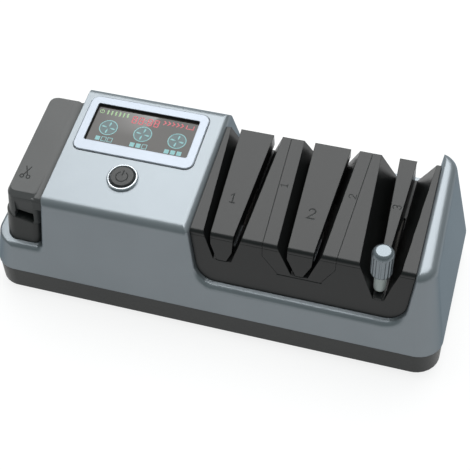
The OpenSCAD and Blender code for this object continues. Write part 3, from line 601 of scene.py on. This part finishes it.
def window_black_lining():
    """Black sheet over the window's walls above the lens, thinning out towards the top; it makes
    those walls dark.
    """
    x, v, width, depth = WINDOW
    mesh = bmesh.new()
    rims = []
    for inset, height in LINING_RIMS:
        reach_x = width / 2 - inset - WINDOW_CORNER
        reach_v = depth / 2 - inset - WINDOW_CORNER
        outline = []
        for sx, sv, start in ((1, 1, 0), (-1, 1, 90), (-1, -1, 180), (1, -1, 270)):
            corner = (x + sx * reach_x, v + sv * reach_v)
            outline += arc(corner, WINDOW_CORNER, start, start + 90, 6)
        rims.append([mesh.verts.new(DECK @ (Vector((*point, height)) * MM)) for point in outline])
    for one, other in zip(rims, rims[1:] + rims[:1]):
        for i in range(len(one)):
            j = (i + 1) % len(one)
            mesh.faces.new((one[i], one[j], other[j], other[i]))
    piece = mesh_object("window_black_lining", mesh, [LINING])
    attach(piece, "housing")


sunk_marks()
power_symbol()
display_symbols()
window_black_lining()


# ---------- studio ----------

FLOOR_REACH = 8.0  # metres each way
FLOOR_GREY = 0.22  # what the floor throws back of the light on it, and so how dark its shadow is
FLOOR_GLOW = 0.82  # what it adds where it is seen, also in a reflection; it lights nothing
WORLD_COLOUR, WORLD_STRENGTH = (0.86, 1, 1, 1), 0.3

SOFTBOX_PLACE, SOFTBOX_AIM = (-0.05, 0.57, 1.15), (-0.05, 0.2, 0.05)
SOFTBOX_SIZE = (1.55, 1.36)
SOFTBOX_POWER = 22  # watts

# The glint card's far and near corners in metres; it is brightest at the first far one
GLINT_FAR = [(-0.3636, 0.5444), (-0.4717, 0.5444)]
GLINT_NEAR = [(-0.3958, 0.4913), (-0.4750, 0.4913)]
GLINT_HEIGHT = 1.0
GLINT_COLUMNS, GLINT_ROWS = 16, 8
GLINT_STRENGTH = 7.0
GLINT_FALL = 1.4  # the power by which it fades from the first corners to the second

CAMERA_PLACE = (0.15014, -0.45685, 0.57368)
CAMERA_TURN = (41.120, 1.468, 16.352)  # degrees about X, Y and Z
CAMERA_LENS, CAMERA_SENSOR = 85.28, 36  # mm


def floor_glow(tree):
    """Light that only the camera and the reflections see."""
    rays = new_node(tree, "LightPath").outputs
    seen = larger(tree, rays["Is Camera Ray"], rays["Is Glossy Ray"])
    seen = larger(tree, seen, rays["Is Transmission Ray"])
    strength = pair_node(tree, "Math", seen, FLOOR_GLOW, operation="MULTIPLY").outputs[0]
    return new_node(tree, "Emission", color=(1, 1, 1, 1), strength=strength)


def floor_matt(tree):
    """The floor's own surface, which takes the shadow."""
    return new_node(tree, "BsdfDiffuse", color=(FLOOR_GREY, FLOOR_GREY, FLOOR_GREY, 1))


def make_floor():
    """A floor that looks white where no shadow falls on it."""
    mesh = bpy.data.meshes.new("floor")
    corners = [(sx * FLOOR_REACH, sy * FLOOR_REACH, 0)
               for sx, sy in ((-1, -1), (1, -1), (1, 1), (-1, 1))]
    mesh.from_pydata(corners, [], [(0, 1, 2, 3)])
    mesh.materials.append(sum_of_shaders("floor", floor_matt, floor_glow))
    floor = add_object("floor", mesh)


def make_world():
    """Dim, slightly teal light all round."""
    world = bpy.data.worlds.new("studio")
    bpy.context.scene.world = world
    world.use_nodes = True
    background = world.node_tree.nodes["Background"].inputs
    background["Color"].default_value = WORLD_COLOUR
    background["Strength"].default_value = WORLD_STRENGTH


def make_softbox():
    """The one lamp: large, overhead and a little behind, so that the tops reflect it."""
    data = bpy.data.lights.new("overhead", "AREA")
    data.shape = "RECTANGLE"
    data.size, data.size_y = SOFTBOX_SIZE
    data.energy = SOFTBOX_POWER
    lamp = add_object("overhead", data)
    lamp.location = SOFTBOX_PLACE
    lamp.rotation_mode = "QUATERNION"
    aim = Vector(SOFTBOX_AIM) - Vector(SOFTBOX_PLACE)
    lamp.rotation_quaternion = aim.to_track_quat("-Z", "Y")


def card_clear(tree):
    """Lets everything behind the card through."""
    return new_node(tree, "BsdfTransparent")


def card_glow(tree):
    """Light as strong as the mesh's glow attribute says."""
    strength = new_node(tree, "Attribute", attribute_name="glow").outputs["Fac"]
    return new_node(tree, "Emission", strength=strength)


def make_glint_card():
    """A small card below the softbox, whose slanted edge shows in the display's glass."""
    points, glow = [], []
    for i in range(GLINT_COLUMNS + 1):
        for j in range(GLINT_ROWS + 1):
            across, down = i / GLINT_COLUMNS, j / GLINT_ROWS
            far, near = (Vector(ends[0]).lerp(Vector(ends[1]), across)
                         for ends in (GLINT_FAR, GLINT_NEAR))
            points.append((*far.lerp(near, down), GLINT_HEIGHT))
            glow.append(GLINT_STRENGTH * (1 - across) ** GLINT_FALL * (1 - down))
    faces = []
    for i in range(GLINT_COLUMNS):
        for j in range(GLINT_ROWS):
            k = i * (GLINT_ROWS + 1) + j
            faces.append((k, k + 1, k + GLINT_ROWS + 2, k + GLINT_ROWS + 1))
    mesh = bpy.data.meshes.new("glint_card")
    mesh.from_pydata(points, [], faces)
    mesh.attributes.new("glow", "FLOAT", "POINT").data.foreach_set("value", glow)
    mesh.materials.append(sum_of_shaders("glint_card", card_clear, card_glow))
    card = add_object("glint_card", mesh)
    card.visible_camera = card.visible_diffuse = card.visible_shadow = False


def make_camera():
    """The photograph's camera."""
    data = bpy.data.cameras.new("camera")
    data.lens, data.sensor_width = CAMERA_LENS, CAMERA_SENSOR
    data.clip_start = 0.01
    camera = add_object("camera", data)
    camera.location = CAMERA_PLACE
    camera.rotation_euler = [math.radians(a) for a in CAMERA_TURN]
    bpy.context.scene.camera = camera


make_floor()
make_world()
make_softbox()
make_glint_card()
make_camera()
bpy.context.scene.view_settings.view_transform = "Standard"
